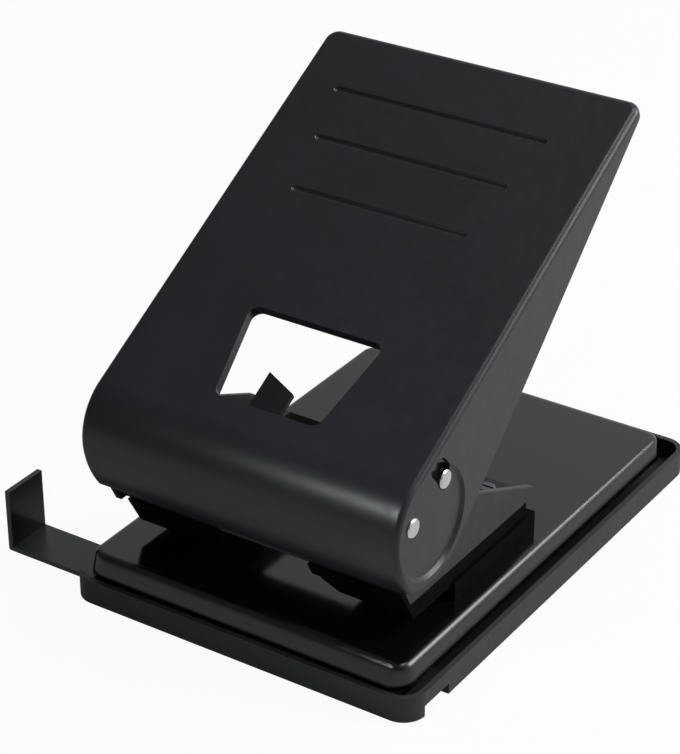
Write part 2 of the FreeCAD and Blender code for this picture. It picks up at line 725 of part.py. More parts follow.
def make_support_block():
    """Right block: carries the frame, guides the punch and stops the paper at its rear."""
    heel = BLOCK_REAR + BLOCK_HEEL
    ledge_top = PLATE_TOP + BLOCK_LEDGE_HEIGHT
    outline = profile(
        [
            (BLOCK_FRONT, THROAT_TOP),
            (THROAT_REAR, THROAT_TOP),
            (THROAT_REAR, PLATE_TOP),
            (heel, PLATE_TOP),
            (heel, ledge_top),
            (BLOCK_REAR, ledge_top),
            (BLOCK_REAR, FRAME_BOTTOM),
            (BLOCK_NOSE_FRONT, FRAME_BOTTOM),
        ]
    )
    block = plate_across(outline, BLOCK_INNER, BLOCK_OUTER)
    ledge = box(
        (BLOCK_OUTER, BLOCK_OUTER + BLOCK_LEDGE),
        (THROAT_REAR, heel),
        (PLATE_TOP, ledge_top),
    )
    lug = box(
        (BLOCK_INNER - BLOCK_LUG_WIDTH, BLOCK_INNER),
        (BLOCK_NOSE_FRONT, BLOCK_NOSE_FRONT + BLOCK_LUG_LENGTH),
        (FRAME_BOTTOM - BLOCK_LUG_HEIGHT, FRAME_BOTTOM),
    )
    lean = (BLOCK_FRONT - BLOCK_NOSE_FRONT) / (FRAME_BOTTOM - THROAT_TOP)
    lug_foot = BLOCK_NOSE_FRONT + lean * BLOCK_LUG_HEIGHT
    lug_wedge = profile(
        [
            (BLOCK_NOSE_FRONT, FRAME_BOTTOM),
            (lug_foot, FRAME_BOTTOM - BLOCK_LUG_HEIGHT),
            (BLOCK_NOSE_FRONT, FRAME_BOTTOM - BLOCK_LUG_HEIGHT),
        ]
    )
    lug = lug.cut(plate_across(lug_wedge, BLOCK_INNER - BLOCK_LUG_WIDTH, BLOCK_INNER))
    block = block.fuse([ledge, lug]).removeSplitter()
    corner = [
        Vector(BLOCK_INNER, from_front(BLOCK_NOSE_FRONT), THROAT_TOP),
        Vector(BLOCK_INNER + BLOCK_CHAMFER, from_front(BLOCK_NOSE_FRONT), THROAT_TOP),
        Vector(BLOCK_INNER, from_front(BLOCK_NOSE_FRONT), THROAT_TOP + BLOCK_CHAMFER),
    ]
    wedge = Part.Face(Part.makePolygon(corner + [corner[0]]))
    wedge = wedge.extrude(Vector(0, THROAT_REAR - BLOCK_NOSE_FRONT, 0))
    pocket = box(
        (BLOCK_INNER + BLOCK_POCKET_WALL, BLOCK_OUTER - BLOCK_POCKET_WALL),
        (BLOCK_POCKET_FRONT, BLOCK_POCKET_REAR),
        (PLATE_TOP, FRAME_BOTTOM - BLOCK_POCKET_WALL),
    )
    bore = Part.makeCylinder(BUSH_DIAMETER / 2 + SEAT_GAP, FRAME_BOTTOM - THROAT_TOP)
    bore.translate(Vector(PUNCH_X, from_front(PUNCH_FROM_FRONT), THROAT_TOP))
    cuts = [wedge, pocket, bore]
    cuts += [screw_hole(x, station, WEB_TOP, 1) for x, station in FRAME_SCREW_PLACES]
    cuts += [screw_hole(x, station, PLATE_UNDER, -1) for x, station in BASE_SCREW_PLACES]
    return block.cut(cuts)


def make_pivot_rod():
    rod = cross_cylinder((PIVOT_FROM_FRONT, PIVOT_HEIGHT), PIVOT_DIAMETER / 2, -PIN_END, PIN_END)
    rims = [edge for edge in rod.Edges if abs(abs(edge.CenterOfMass.x) - PIN_END) < 0.01]
    return rod.makeChamfer(0.4, rims)


def make_stop_pins():
    centre = polar((PIVOT_FROM_FRONT, PIVOT_HEIGHT), STOP_RADIUS, STOP_ANGLE)
    pin = cross_cylinder(centre, PIVOT_DIAMETER / 2, CHEEK_INNER - STOP_HEAD_HEIGHT, PIN_END)
    rim = max(pin.Edges, key=lambda edge: edge.BoundBox.XMin)
    pin = pin.makeChamfer(0.4, [rim])
    head_start = CHEEK_INNER - STOP_HEAD_HEIGHT
    head = cross_cylinder(centre, STOP_HEAD_DIAMETER / 2, head_start, CHEEK_INNER)
    return both_sides(pin.fuse(head).removeSplitter())


def plate_form(inset, bottom, top, round_top):
    """Tapered form of the base plate, shrunk by inset on every side."""
    flare = PLATE_SKIRT_FLARE
    rear = TRAY_DEPTH - PLATE_REAR_INSET
    side = TRAY_WIDTH / 2 - PLATE_SIDE_INSET
    corner = PLATE_CORNER - inset
    low = rounded_wire(
        side + PLATE_SIDE_FLARE - inset,
        PLATE_FRONT_INSET - flare + inset,
        rear + flare - inset,
        corner + flare,
        bottom,
    )
    high = rounded_wire(side - inset, PLATE_FRONT_INSET + inset, rear - inset, corner, top)
    form = Part.makeLoft([low, high], True, True)
    rims = [edge for edge in form.Edges if abs(edge.CenterOfMass.z - top) < 0.01]
    return form.makeFillet(round_top, rims)


def make_base_plate():
    outer = plate_form(0.0, PLATE_BOTTOM, PLATE_TOP, PLATE_EDGE_ROUND)
    inner = plate_form(PLATE_SHEET, PLATE_BOTTOM - PLATE_SHEET, PLATE_UNDER, PLATE_EDGE_ROUND / 3)
    plate = outer.cut(inner)
    cuts = []
    for x in (-PUNCH_X, PUNCH_X):
        seat = Part.makeCylinder(DIE_DIAMETER / 2 + SEAT_GAP, PLATE_SHEET)
        seat.translate(Vector(x, from_front(PUNCH_FROM_FRONT), PLATE_UNDER))
        cuts.append(seat)
    for x, station in BASE_SCREW_PLACES:
        cuts += [screw_hole(side * x, station, PLATE_UNDER, -1) for side in (-1, 1)]
    return plate.cut(cuts)


def make_die_bush(x):
    """Hardened die let into the base plate from below."""
    flange_low = PLATE_UNDER - DIE_FLANGE_HEIGHT
    body = turned(
        x,
        PUNCH_FROM_FRONT,
        [
            (DIE_FLANGE_DIAMETER / 2, flange_low),
            (DIE_FLANGE_DIAMETER / 2, PLATE_UNDER),
            (DIE_DIAMETER / 2, PLATE_UNDER),
            (DIE_DIAMETER / 2, PLATE_TOP),
        ],
    )
    bore = turned(
        x,
        PUNCH_FROM_FRONT,
        [
            (DIE_RELIEF_DIAMETER / 2, flange_low),
            (DIE_RELIEF_DIAMETER / 2, PLATE_TOP - DIE_LAND),
            (HOLE_DIAMETER / 2 + RUNNING_FIT, PLATE_TOP - DIE_LAND),
            (HOLE_DIAMETER / 2 + RUNNING_FIT, PLATE_TOP),
        ],
    )
    return body.cut(bore)


def make_guide_bush(x):
    body = turned(
        x,
        PUNCH_FROM_FRONT,
        [
            (BUSH_DIAMETER / 2, THROAT_TOP),
            (BUSH_DIAMETER / 2, WEB_TOP),
            (BUSH_FLANGE_DIAMETER / 2, WEB_TOP),
            (BUSH_FLANGE_DIAMETER / 2, BUSH_TOP),
            (BUSH_SPIGOT_DIAMETER / 2, BUSH_TOP),
            (BUSH_SPIGOT_DIAMETER / 2, BUSH_TOP + BUSH_SPIGOT_HEIGHT),
        ],
    )
    height = BUSH_TOP + BUSH_SPIGOT_HEIGHT - THROAT_TOP
    bore = Part.makeCylinder(HOLE_DIAMETER / 2 + RUNNING_FIT, height)
    bore.translate(Vector(x, from_front(PUNCH_FROM_FRONT), THROAT_TOP))
    return body.cut(bore)


def make_punch(x):
    """Punch pin with a flat head and a hollow-ground cutting end."""
    pin = turned(
        x,
        PUNCH_FROM_FRONT,
        [
            (HOLE_DIAMETER / 2, PUNCH_TIP),
            (HOLE_DIAMETER / 2, SPRING_SEAT),
            (PUNCH_HEAD_DIAMETER / 2, SPRING_SEAT),
            (PUNCH_HEAD_DIAMETER / 2, PUNCH_TOP),
        ],
    )
    hollow_centre = (PUNCH_FROM_FRONT, PUNCH_TIP + PUNCH_TIP_DEPTH - PUNCH_TIP_HOLLOW)
    half = HOLE_DIAMETER
    return pin.cut(cross_cylinder(hollow_centre, PUNCH_TIP_HOLLOW, x - half, x + half))


def make_return_spring(x):
    """Compression spring between the bush flange and the punch head."""
    clear = SPRING_WIRE / 2 + SEAT_GAP
    height = SPRING_SEAT - BUSH_TOP - 2 * clear
    helix = Part.makeHelix(height / SPRING_TURNS, height, SPRING_MEAN_DIAMETER / 2)
    section = Part.Wire(
        Part.makeCircle(SPRING_WIRE / 2, Vector(SPRING_MEAN_DIAMETER / 2, 0, 0), Vector(0, 1, 0))
    )
    coil = Part.Wire(helix.Edges).makePipeShell([section], True, True)
    coil.translate(Vector(x, from_front(PUNCH_FROM_FRONT), BUSH_TOP + clear))
    return coil


# ---------------------------------------------------------------- tray, hinge and guide
def hinge_centre():
    return TRAY_DEPTH - HINGE_FROM_REAR, HINGE_HEIGHT


def make_chip_tray():
    half = TRAY_WIDTH / 2
    outer = rounded_block(half, 0.0, TRAY_DEPTH, TRAY_CORNER, FOOT_PROUD, TRAY_HEIGHT)
    low_rims = [edge for edge in outer.Edges if abs(edge.CenterOfMass.z - FOOT_PROUD) < 0.01]
    outer = outer.makeFillet(TRAY_EDGE_ROUND, low_rims)
    floor = FOOT_PROUD + TRAY_FLOOR
    wall = TRAY_WALL
    inner = rounded_block(
        half - wall, wall, TRAY_DEPTH - wall, TRAY_CORNER - wall, floor, TRAY_HEIGHT
    )
    tray = outer.cut(inner)
    notch_rear = FINGER_NOTCH_FROM_FRONT + FINGER_NOTCH_LENGTH
    added = [
        box(
            (half - FINGER_NOTCH_DEPTH - wall, half - wall / 2),
            (FINGER_NOTCH_FROM_FRONT - wall, notch_rear + wall),
            (floor / 2, FINGER_NOTCH_HEIGHT + wall),
        )
    ]
    centre = hinge_centre()
    ear = wrapped_face(
        [
            (centre, HINGE_KNUCKLE_RADIUS),
            ((centre[0] - HINGE_KNUCKLE_RADIUS * 2, floor / 2), 0.0),
            ((TRAY_DEPTH - wall / 2, floor / 2), 0.0),
            ((TRAY_DEPTH - wall / 2, TRAY_HEIGHT - wall / 2), 0.0),
        ]
    )
    reach = HINGE_LEAF_WIDTH / 2 + HINGE_SIDE_GAP
    for middle in (-HINGE_OFFSET, HINGE_OFFSET):
        added.append(plate_across(ear, middle + reach, middle + reach + HINGE_EAR_WIDTH))
        added.append(plate_across(ear, middle - reach - HINGE_EAR_WIDTH, middle - reach))
    tray = tray.fuse(added)
    cuts = [
        cross_cylinder(centre, HINGE_PIN_DIAMETER / 2 + SEAT_GAP, -half + wall, half - wall),
        box(
            (half - FINGER_NOTCH_DEPTH, half + wall),
            (FINGER_NOTCH_FROM_FRONT, notch_rear),
            (0.0, FINGER_NOTCH_HEIGHT),
        ),
        box(
            (-half - wall, -half + TRAY_CORNER),
            (GUIDE_FRONT - GUIDE_NOTCH_GAP, GUIDE_FRONT + GUIDE_WIDTH + GUIDE_NOTCH_GAP),
            (floor, TRAY_HEIGHT + wall),
        ),
    ]
    for x, station in foot_places():
        recess = Part.makeCylinder(FOOT_DIAMETER / 2 + SEAT_GAP, FOOT_HEIGHT)
        recess.translate(Vector(x, from_front(station), 0.0))
        cuts.append(recess)
    return tray.cut(cuts)


def foot_places():
    half = TRAY_WIDTH / 2 - FOOT_INSET
    return [(x, y) for x in (-half, half) for y in (FOOT_INSET, TRAY_DEPTH - FOOT_INSET)]


def make_rubber_feet():
    feet = []
    for x, station in foot_places():
        foot = Part.makeCylinder(FOOT_DIAMETER / 2, FOOT_HEIGHT)
        rim = min(foot.Edges, key=lambda edge: edge.BoundBox.ZMax)
        foot = foot.makeFillet(FOOT_PROUD * 0.9, [rim])
        foot.translate(Vector(x, from_front(station), 0.0))
        feet.append(foot)
    return Part.makeCompound(feet)


def make_hinge_pins():
    half = HINGE_LEAF_WIDTH / 2 + HINGE_SIDE_GAP + HINGE_EAR_WIDTH
    pin = cross_cylinder(
        hinge_centre(), HINGE_PIN_DIAMETER / 2, HINGE_OFFSET - half, HINGE_OFFSET + half
    )
    return both_sides(pin)


def make_hinge_leaves():
    """Cranked strips under the rear of the base plate, each ending in a knuckle."""
    centre = hinge_centre()
    t = HINGE_LEAF_THICKNESS
    skirt_inside = TRAY_DEPTH - PLATE_REAR_INSET - PLATE_SHEET
    drop = skirt_inside - t
    low = centre[1] - HINGE_KNUCKLE_RADIUS
    outline = profile(
        [
            (skirt_inside - HINGE_LEAF_LENGTH, PLATE_UNDER - t),
            (drop - t, PLATE_UNDER - t),
            (drop - t, low),
            (centre[0], low),
            (centre[0], low + t),
            (drop, low + t),
            (drop, PLATE_UNDER),
            (skirt_inside - HINGE_LEAF_LENGTH, PLATE_UNDER),
        ]
    )
    half = HINGE_LEAF_WIDTH / 2
    strip = plate_across(outline, HINGE_OFFSET - half, HINGE_OFFSET + half)
    knuckle = cross_cylinder(centre, HINGE_KNUCKLE_RADIUS, HINGE_OFFSET - half, HINGE_OFFSET + half)
    bore = cross_cylinder(
        centre, HINGE_PIN_DIAMETER / 2 + RUNNING_FIT, HINGE_OFFSET - half, HINGE_OFFSET + half
    )
    return both_sides(strip.fuse(knuckle).cut(bore).removeSplitter())


def make_guide_bar():
    """Flat bar with an upturned stop at its left end and a slot for the guide post."""
    rear = GUIDE_FRONT + GUIDE_WIDTH
    half = GUIDE_POST_DIAMETER / 2 + GUIDE_SLOT_GAP
    ends = (GUIDE_POST_X - GUIDE_TRAVEL_IN, GUIDE_POST_X + GUIDE_TRAVEL_OUT)
    left, right = -GUIDE_OUT, ends[1] + half + GUIDE_END_LAND
    outline = [
        Vector(left, 0, GUIDE_BOTTOM),
        Vector(right, 0, GUIDE_BOTTOM),
        Vector(right, 0, GUIDE_TOP),
        Vector(left + GUIDE_STOP_THICKNESS, 0, GUIDE_TOP),
        Vector(left + GUIDE_STOP_THICKNESS, 0, GUIDE_STOP_HEIGHT),
        Vector(left, 0, GUIDE_STOP_HEIGHT),
    ]
    bar = Part.Face(Part.makePolygon(outline + [outline[0]])).extrude(Vector(0, GUIDE_WIDTH, 0))
    bar.translate(Vector(0, from_front(GUIDE_FRONT), 0))
    heel = [
        edge
        for edge in square_edges(bar, Vector(0, 1, 0))
        if abs(edge.CenterOfMass.z - GUIDE_BOTTOM) < 0.01 and edge.CenterOfMass.x < left + 0.01
    ]
    bar = bar.makeFillet(GUIDE_BEND, heel)
    middle = (GUIDE_FRONT + rear) / 2
    slot = box(ends, (middle - half, middle + half), (GUIDE_BOTTOM, GUIDE_TOP))
    rounds = []
    for x in ends:
        rounds.append(Part.makeCylinder(half, GUIDE_THICKNESS, point(middle, GUIDE_BOTTOM, x)))
    return bar.cut([slot] + rounds)


def make_guide_post():
    """Shoulder post under the base plate that the guide bar's slot runs along."""
    collar = GUIDE_POST_HEAD_DIAMETER / 2
    shank = GUIDE_POST_DIAMETER / 2
    head_top = GUIDE_BOTTOM - GUIDE_PLAY
    return turned(
        GUIDE_POST_X,
        GUIDE_FRONT + GUIDE_WIDTH / 2,
        [
            (collar, head_top - GUIDE_POST_HEAD_HEIGHT),
            (collar, head_top),
            (shank, head_top),
            (shank, GUIDE_TOP + GUIDE_PLAY),
            (collar, GUIDE_TOP + GUIDE_PLAY),
            (collar, PLATE_UNDER),
        ],
    )


def make_guide_keeper():
    """Hooked strip under the base plate that holds the guide bar up near the tray's wall."""
    rear = GUIDE_FRONT + GUIDE_WIDTH + GUIDE_PLAY
    low = GUIDE_BOTTOM - GUIDE_PLAY
    t = KEEPER_SHEET
    outline = profile(
        [
            (rear + t - KEEPER_LIP, low - t),
            (rear + t, low - t),
            (rear + t, PLATE_UNDER - t),
            (rear + t + KEEPER_LIP, PLATE_UNDER - t),
            (rear + t + KEEPER_LIP, PLATE_UNDER),
            (rear, PLATE_UNDER),
            (rear, low),
            (rear + t - KEEPER_LIP, low),
        ]
    )
    return plate_across(outline, KEEPER_X - KEEPER_WIDTH / 2, KEEPER_X + KEEPER_WIDTH / 2)


def parts():
    """Every node of the punch, by name."""
    block = make_support_block()
    bracket = make_press_bracket()
    return {
        "chip_tray": make_chip_tray(),
        "rubber_feet": make_rubber_feet(),
        "hinge_pins": make_hinge_pins(),
        "base_plate": make_base_plate(),
        "hinge_leaves": make_hinge_leaves(),
        "die_bush_left": make_die_bush(-PUNCH_X),
        "die_bush_right": make_die_bush(PUNCH_X),
        "support_block_left": mirrored(block),
        "support_block_right": block,
        "punch_frame": make_punch_frame(),
        "frame_screws": make_frame_screws(),
        "base_screws": make_base_screws(),
        "guide_bush_left": make_guide_bush(-PUNCH_X),
        "guide_bush_right": make_guide_bush(PUNCH_X),
        "pivot_rod": make_pivot_rod(),
        "stop_pins": make_stop_pins(),
        "guide_post": make_guide_post(),
        "guide_keeper": make_guide_keeper(),
        "lever": make_lever(),
        "press_bracket_left": mirrored(bracket),
        "press_bracket_right": bracket,
        "press_bar": make_press_bar(),
        "press_bar_clips": make_press_bar_clips(),
        "centre_bracket": make_centre_bracket(),
        "punch_left": make_punch(-PUNCH_X),
        "punch_right": make_punch(PUNCH_X),
        "return_spring_left": make_return_spring(-PUNCH_X),
        "return_spring_right": make_return_spring(PUNCH_X),
        "guide_bar": make_guide_bar(),
    }


def main():
    os.makedirs("parts", exist_ok=True)
    for name, shape in parts().items():
        shape.exportStep("parts/" + name + ".step")
        print(name, "solids", len(shape.Solids), "valid", shape.isValid(), "volume", round(shape.Volume))


main()
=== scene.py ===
import bpy
import math
from mathutils import Matrix, Vector


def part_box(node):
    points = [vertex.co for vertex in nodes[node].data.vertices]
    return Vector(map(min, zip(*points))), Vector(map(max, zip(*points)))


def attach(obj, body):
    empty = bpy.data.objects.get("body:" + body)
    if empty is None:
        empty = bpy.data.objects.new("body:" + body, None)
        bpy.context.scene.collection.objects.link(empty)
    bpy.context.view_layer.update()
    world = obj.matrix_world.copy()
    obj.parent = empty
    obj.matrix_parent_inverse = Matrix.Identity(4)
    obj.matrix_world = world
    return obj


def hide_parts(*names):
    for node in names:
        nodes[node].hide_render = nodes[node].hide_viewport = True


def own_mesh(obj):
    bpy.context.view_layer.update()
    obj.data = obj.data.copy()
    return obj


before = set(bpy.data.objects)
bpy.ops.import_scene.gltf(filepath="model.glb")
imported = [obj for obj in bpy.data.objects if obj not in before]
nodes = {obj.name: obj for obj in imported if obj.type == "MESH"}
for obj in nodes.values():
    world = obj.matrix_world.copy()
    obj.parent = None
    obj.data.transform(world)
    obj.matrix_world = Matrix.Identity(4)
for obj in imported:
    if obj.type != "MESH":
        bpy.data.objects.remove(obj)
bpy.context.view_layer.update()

# ---------------------------------------------------------------- camera
# Solved from the straight edges of the tray and the base plate in the photo.
AZIMUTH = math.radians(33.69)
ELEVATION = math.radians(29.31)
ROLL = math.radians(-0.295)
CAMERA_AT = Vector((0.47675, -0.7516, 0.5696))
FOCAL_PX = 2631.5
PHOTO_HEIGHT_PX = 754
SENSOR_HEIGHT_MM = 24


def make_camera():
    back = Vector((
        math.sin(AZIMUTH) * math.cos(ELEVATION),
        -math.cos(AZIMUTH) * math.cos(ELEVATION),
        math.sin(ELEVATION),
    ))
    level = Vector((math.cos(AZIMUTH), math.sin(AZIMUTH), 0))
    rise = level.cross(-back)
    right = level * math.cos(ROLL) + rise * math.sin(ROLL)
    up = -level * math.sin(ROLL) + rise * math.cos(ROLL)
    data = bpy.data.cameras.new("camera")
    data.sensor_fit = "VERTICAL"
    data.sensor_height = SENSOR_HEIGHT_MM
    data.lens = FOCAL_PX / PHOTO_HEIGHT_PX * SENSOR_HEIGHT_MM
    camera = bpy.data.objects.new("camera", data)
    bpy.context.scene.collection.objects.link(camera)
    turn = Matrix((right, up, back)).transposed().to_4x4()
    camera.matrix_world = Matrix.Translation(CAMERA_AT) @ turn
    bpy.context.scene.camera = camera


make_camera()

# ---------------------------------------------------------------- materials
# Noise scales are in waves per metre, bump heights in metres.
COLOUR_DRIFT_SCALE = 28
GLOSS_DRIFT_SCALE = 240
FLECK_TO_PEEL_SCALE = 4.3
METAL_COLOUR_SCALE = 160
METAL_DARK_SHARE = 0.82
METAL_MARK_SCALE = 900
METAL_BRUSH_TO_MARK_SCALE = 2
PLASTIC_COLOUR_SCALE = 60
PLASTIC_GLOSS_SCALE = 500
PLASTIC_LIGHT_SHARE = 1.25
PLASTIC_SPECULAR = 0.34
FLOW_SAMPLES = 8


def new_material(name):
    material = bpy.data.materials.new(name)
    material.use_nodes = True
    tree = material.node_tree
    return material, tree, tree.nodes["Principled BSDF"]


def add(tree, kind, **values):
    node = tree.nodes.new(kind)
    for key, value in values.items():
        setattr(node, key, value)
    return node


def noise(tree, scale, detail=3.0, roughness=0.5):
    """3-D noise fixed to the object."""
    place = add(tree, "ShaderNodeTexCoord")
    node = add(tree, "ShaderNodeTexNoise")
    node.inputs["Scale"].default_value = scale
    node.inputs["Detail"].default_value = detail
    node.inputs["Roughness"].default_value = roughness
    tree.links.new(place.outputs["Object"], node.inputs["Vector"])
    return node.outputs["Fac"]


def ramp(tree, source, low, high, at=(0.3, 0.7)):
    """Maps a source value of at[0] to low and of at[1] to high, and holds it beyond them."""
    node = add(tree, "ShaderNodeMapRange")
    node.inputs["From Min"].default_value = at[0]
    node.inputs["From Max"].default_value = at[1]
    node.inputs["To Min"].default_value = low
    node.inputs["To Max"].default_value = high
    tree.links.new(source, node.inputs["Value"])
    return node.outputs["Result"]


def colour_mix(tree, source, first, second):
    node = add(tree, "ShaderNodeMix", data_type="RGBA")
    node.inputs["A"].default_value = (*first, 1)
    node.inputs["B"].default_value = (*second, 1)
    tree.links.new(ramp(tree, source, 0.0, 1.0), node.inputs["Factor"])
    return node.outputs["Result"]


def bump(tree, shader, source, height, normal=None):
    """Bump of a real height, on top of another normal where one is given."""
    node = add(tree, "ShaderNodeBump")
    node.inputs["Strength"].default_value = 1.0
    node.inputs["Distance"].default_value = height
    tree.links.new(source, node.inputs["Height"])
    if normal:
        tree.links.new(normal, node.inputs["Normal"])
    tree.links.new(node.outputs["Normal"], shader.inputs["Normal"])
    return node.outputs["Normal"]


def paint(name, colour, worn, roughness, peel_scale, peel_height, fleck=0.0, gloss=0.5, flow=0.0):
    """Black enamel or powder coat with slight colour drift, uneven gloss and orange peel.

    fleck is the height of a finer grain, and flow the radius to which thick paint rounds edges.
    """
    material, tree, shader = new_material(name)
    drift = noise(tree, COLOUR_DRIFT_SCALE, 4)
    tree.links.new(colour_mix(tree, drift, colour, worn), shader.inputs["Base Color"])
    uneven = noise(tree, GLOSS_DRIFT_SCALE, 5, 0.6)
    tree.links.new(ramp(tree, uneven, *roughness), shader.inputs["Roughness"])
    edges = None
    if flow:
        bevel = add(tree, "ShaderNodeBevel", samples=FLOW_SAMPLES)
        bevel.inputs["Radius"].default_value = flow
        edges = bevel.outputs["Normal"]
    peeled = bump(tree, shader, noise(tree, peel_scale, 2), peel_height, edges)
    if fleck:
        grain = noise(tree, peel_scale * FLECK_TO_PEEL_SCALE, 2)
        bump(tree, shader, grain, fleck, peeled)
    shader.inputs["Specular IOR Level"].default_value = gloss
    return material


def metal(name, colour, roughness, brushed=0.0):
    """Steel with fine turning or drawing marks and a slightly uneven polish."""
    material, tree, shader = new_material(name)
    shader.inputs["Metallic"].default_value = 1.0
    dark = tuple(c * METAL_DARK_SHARE for c in colour)
    patches = noise(tree, METAL_COLOUR_SCALE, 4)
    tree.links.new(colour_mix(tree, patches, dark, colour), shader.inputs["Base Color"])
    marks = noise(tree, METAL_MARK_SCALE, 4)
    tree.links.new(ramp(tree, marks, *roughness), shader.inputs["Roughness"])
    if brushed:
        bump(tree, shader, noise(tree, METAL_MARK_SCALE * METAL_BRUSH_TO_MARK_SCALE, 3), brushed)
    return material


def moulded(name, colour, roughness, grain_scale, grain_height):
    """Moulded plastic or rubber with a fine spark-eroded grain."""
    material, tree, shader = new_material(name)
    lighter = tuple(c * PLASTIC_LIGHT_SHARE for c in colour)
    patches = noise(tree, PLASTIC_COLOUR_SCALE, 4)
    tree.links.new(colour_mix(tree, patches, colour, lighter), shader.inputs["Base Color"])
    uneven = noise(tree, PLASTIC_GLOSS_SCALE, 3)
    tree.links.new(ramp(tree, uneven, *roughness), shader.inputs["Roughness"])
    bump(tree, shader, noise(tree, grain_scale, 3), grain_height)
    shader.inputs["Specular IOR Level"].default_value = PLASTIC_SPECULAR
    return material


# With roughness from 0.27 to 0.37 the lever's paint came out speckled, and from 0.285 to
# 0.375 it doesn't. The other ranges stay on one side of 0.27 to 0.28 as well.
LEVER_PAINT = paint(
    "lever_paint", (0.0138, 0.0130, 0.0172), (0.0172, 0.0162, 0.0212), (0.285, 0.375),
    peel_scale=750, peel_height=0.000012, fleck=0.000003, gloss=0.38,
)
PLATE_PAINT = paint(
    "plate_paint", (0.0022, 0.0023, 0.0022), (0.003, 0.003, 0.003), (0.1, 0.14),
    peel_scale=120, peel_height=0.000004, gloss=0.62, flow=0.0035,
)
FRAME_PAINT = paint(
    "frame_paint", (0.006, 0.0058, 0.0075), (0.009, 0.0087, 0.011), (0.285, 0.4),
    peel_scale=600, peel_height=0.00001, gloss=0.3,
)
# The support blocks' paint is near black and almost without gloss, darker than the frame's paint.
# It is a matte black finish with painted shade in it, which stands in for the shadow that falls
# on the blocks under the lever.
BLOCK_PAINT_WITH_SHADE = paint(
    "block_paint_with_shade", (0.0018, 0.0018, 0.0022), (0.0034, 0.0034, 0.004), (0.48, 0.66),
    peel_scale=420, peel_height=0.000015, gloss=0.02,
)
GUIDE_PAINT = paint(
    "guide_paint", (0.009, 0.011, 0.011), (0.012, 0.0142, 0.014), (0.18, 0.26),
    peel_scale=700, peel_height=0.000006,
)
TRAY_PLASTIC = moulded("tray_plastic", (0.017, 0.017, 0.0176), (0.42, 0.52), 1500, 0.00002)
FOOT_RUBBER = moulded("foot_rubber", (0.008, 0.008, 0.008), (0.6, 0.75), 1100, 0.00002)
BRIGHT_STEEL = metal("bright_steel", (0.72, 0.72, 0.74), (0.16, 0.265), 0.000002)
PLATED_STEEL = metal("plated_steel", (0.55, 0.55, 0.56), (0.285, 0.4), 0.000002)
HARD_STEEL = metal("hard_steel", (0.42, 0.42, 0.44), (0.15, 0.26), 0.000001)
SPRING_STEEL = metal("spring_steel", (0.3, 0.3, 0.32), (0.18, 0.265))
SCREW_STEEL = metal("screw_steel", (0.16, 0.16, 0.17), (0.3, 0.45))

FINISHES = {
    "chip_tray": TRAY_PLASTIC,
    "rubber_feet": FOOT_RUBBER,
    "hinge_pins": BRIGHT_STEEL,
    "base_plate": PLATE_PAINT,
    "hinge_leaves": PLATED_STEEL,
    "die_bush_left": HARD_STEEL,
    "die_bush_right": HARD_STEEL,
    "support_block_left": BLOCK_PAINT_WITH_SHADE,
    "support_block_right": BLOCK_PAINT_WITH_SHADE,
    "punch_frame": FRAME_PAINT,
    "frame_screws": SCREW_STEEL,
    "base_screws": SCREW_STEEL,
    "guide_bush_left": HARD_STEEL,
    "guide_bush_right": HARD_STEEL,
    "return_spring_left": SPRING_STEEL,
    "return_spring_right": SPRING_STEEL,
    "pivot_rod": BRIGHT_STEEL,
    "stop_pins": BRIGHT_STEEL,
    "guide_post": PLATED_STEEL,
    "guide_keeper": PLATED_STEEL,
    "lever": LEVER_PAINT,
    "press_bracket_left": FRAME_PAINT,
    "press_bracket_right": FRAME_PAINT,
    "press_bar": BRIGHT_STEEL,
    "press_bar_clips": SPRING_STEEL,
    "centre_bracket": FRAME_PAINT,
    "punch_left": HARD_STEEL,
    "punch_right": HARD_STEEL,
    "guide_bar": GUIDE_PAINT,
}
for name, node in nodes.items():
    node.data.materials.clear()
    node.data.materials.append(FINISHES[name])

# ---------------------------------------------------------------- return springs
SPRING_TURNS = 5.5
SPRING_RADIUS = 0.0053
WIRE_RADIUS = 0.00065
COIL_STEPS = 264
WIRE_SIDES = 14


def coil_mesh(name, low, high):
    """A helix of round wire with its axis up the middle of the box from low to high."""
    middle = (low + high) / 2
    bottom, top = low.z + WIRE_RADIUS, high.z - WIRE_RADIUS
    whole_turn = SPRING_TURNS * 2 * math.pi
    climb = (top - bottom) / whole_turn
    verts, faces = [], []
    for step in range(COIL_STEPS + 1):
        turn = whole_turn * step / COIL_STEPS
        out = Vector((math.cos(turn), math.sin(turn), 0))
        along = Vector((-SPRING_RADIUS * out.y, SPRING_RADIUS * out.x, climb)).normalized()
        across = along.cross(out)
        centre = Vector((middle.x, middle.y, bottom + climb * turn)) + out * SPRING_RADIUS
        for side in range(WIRE_SIDES):
            angle = 2 * math.pi * side / WIRE_SIDES
            spoke = out * math.cos(angle) + across * math.sin(angle)
            verts.append(centre + spoke * WIRE_RADIUS)
    for step in range(COIL_STEPS):
        for side in range(WIRE_SIDES):
            a = step * WIRE_SIDES + side
            b = step * WIRE_SIDES + (side + 1) % WIRE_SIDES
            faces.append((a, b, b + WIRE_SIDES, a + WIRE_SIDES))
    last_ring = COIL_STEPS * WIRE_SIDES
    faces.append(tuple(reversed(range(WIRE_SIDES))))
    faces.append(tuple(range(last_ring, last_ring + WIRE_SIDES)))
    mesh = bpy.data.meshes.new(name)
    mesh.from_pydata(verts, [], faces)
    mesh.polygons.foreach_set("use_smooth", [len(face) == 4 for face in faces])
    return mesh


def coil(name, node):
    """The return spring in the place of its CAD node."""
    low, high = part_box(node)
    mesh = coil_mesh(name, low, high)
    mesh.materials.append(SPRING_STEEL)
    piece = bpy.data.objects.new(name, mesh)
    bpy.context.scene.collection.objects.link(piece)
    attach(piece, "base")
    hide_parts(node)
    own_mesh(piece)


coil("coil_left", "return_spring_left")
coil("coil_right", "return_spring_right")

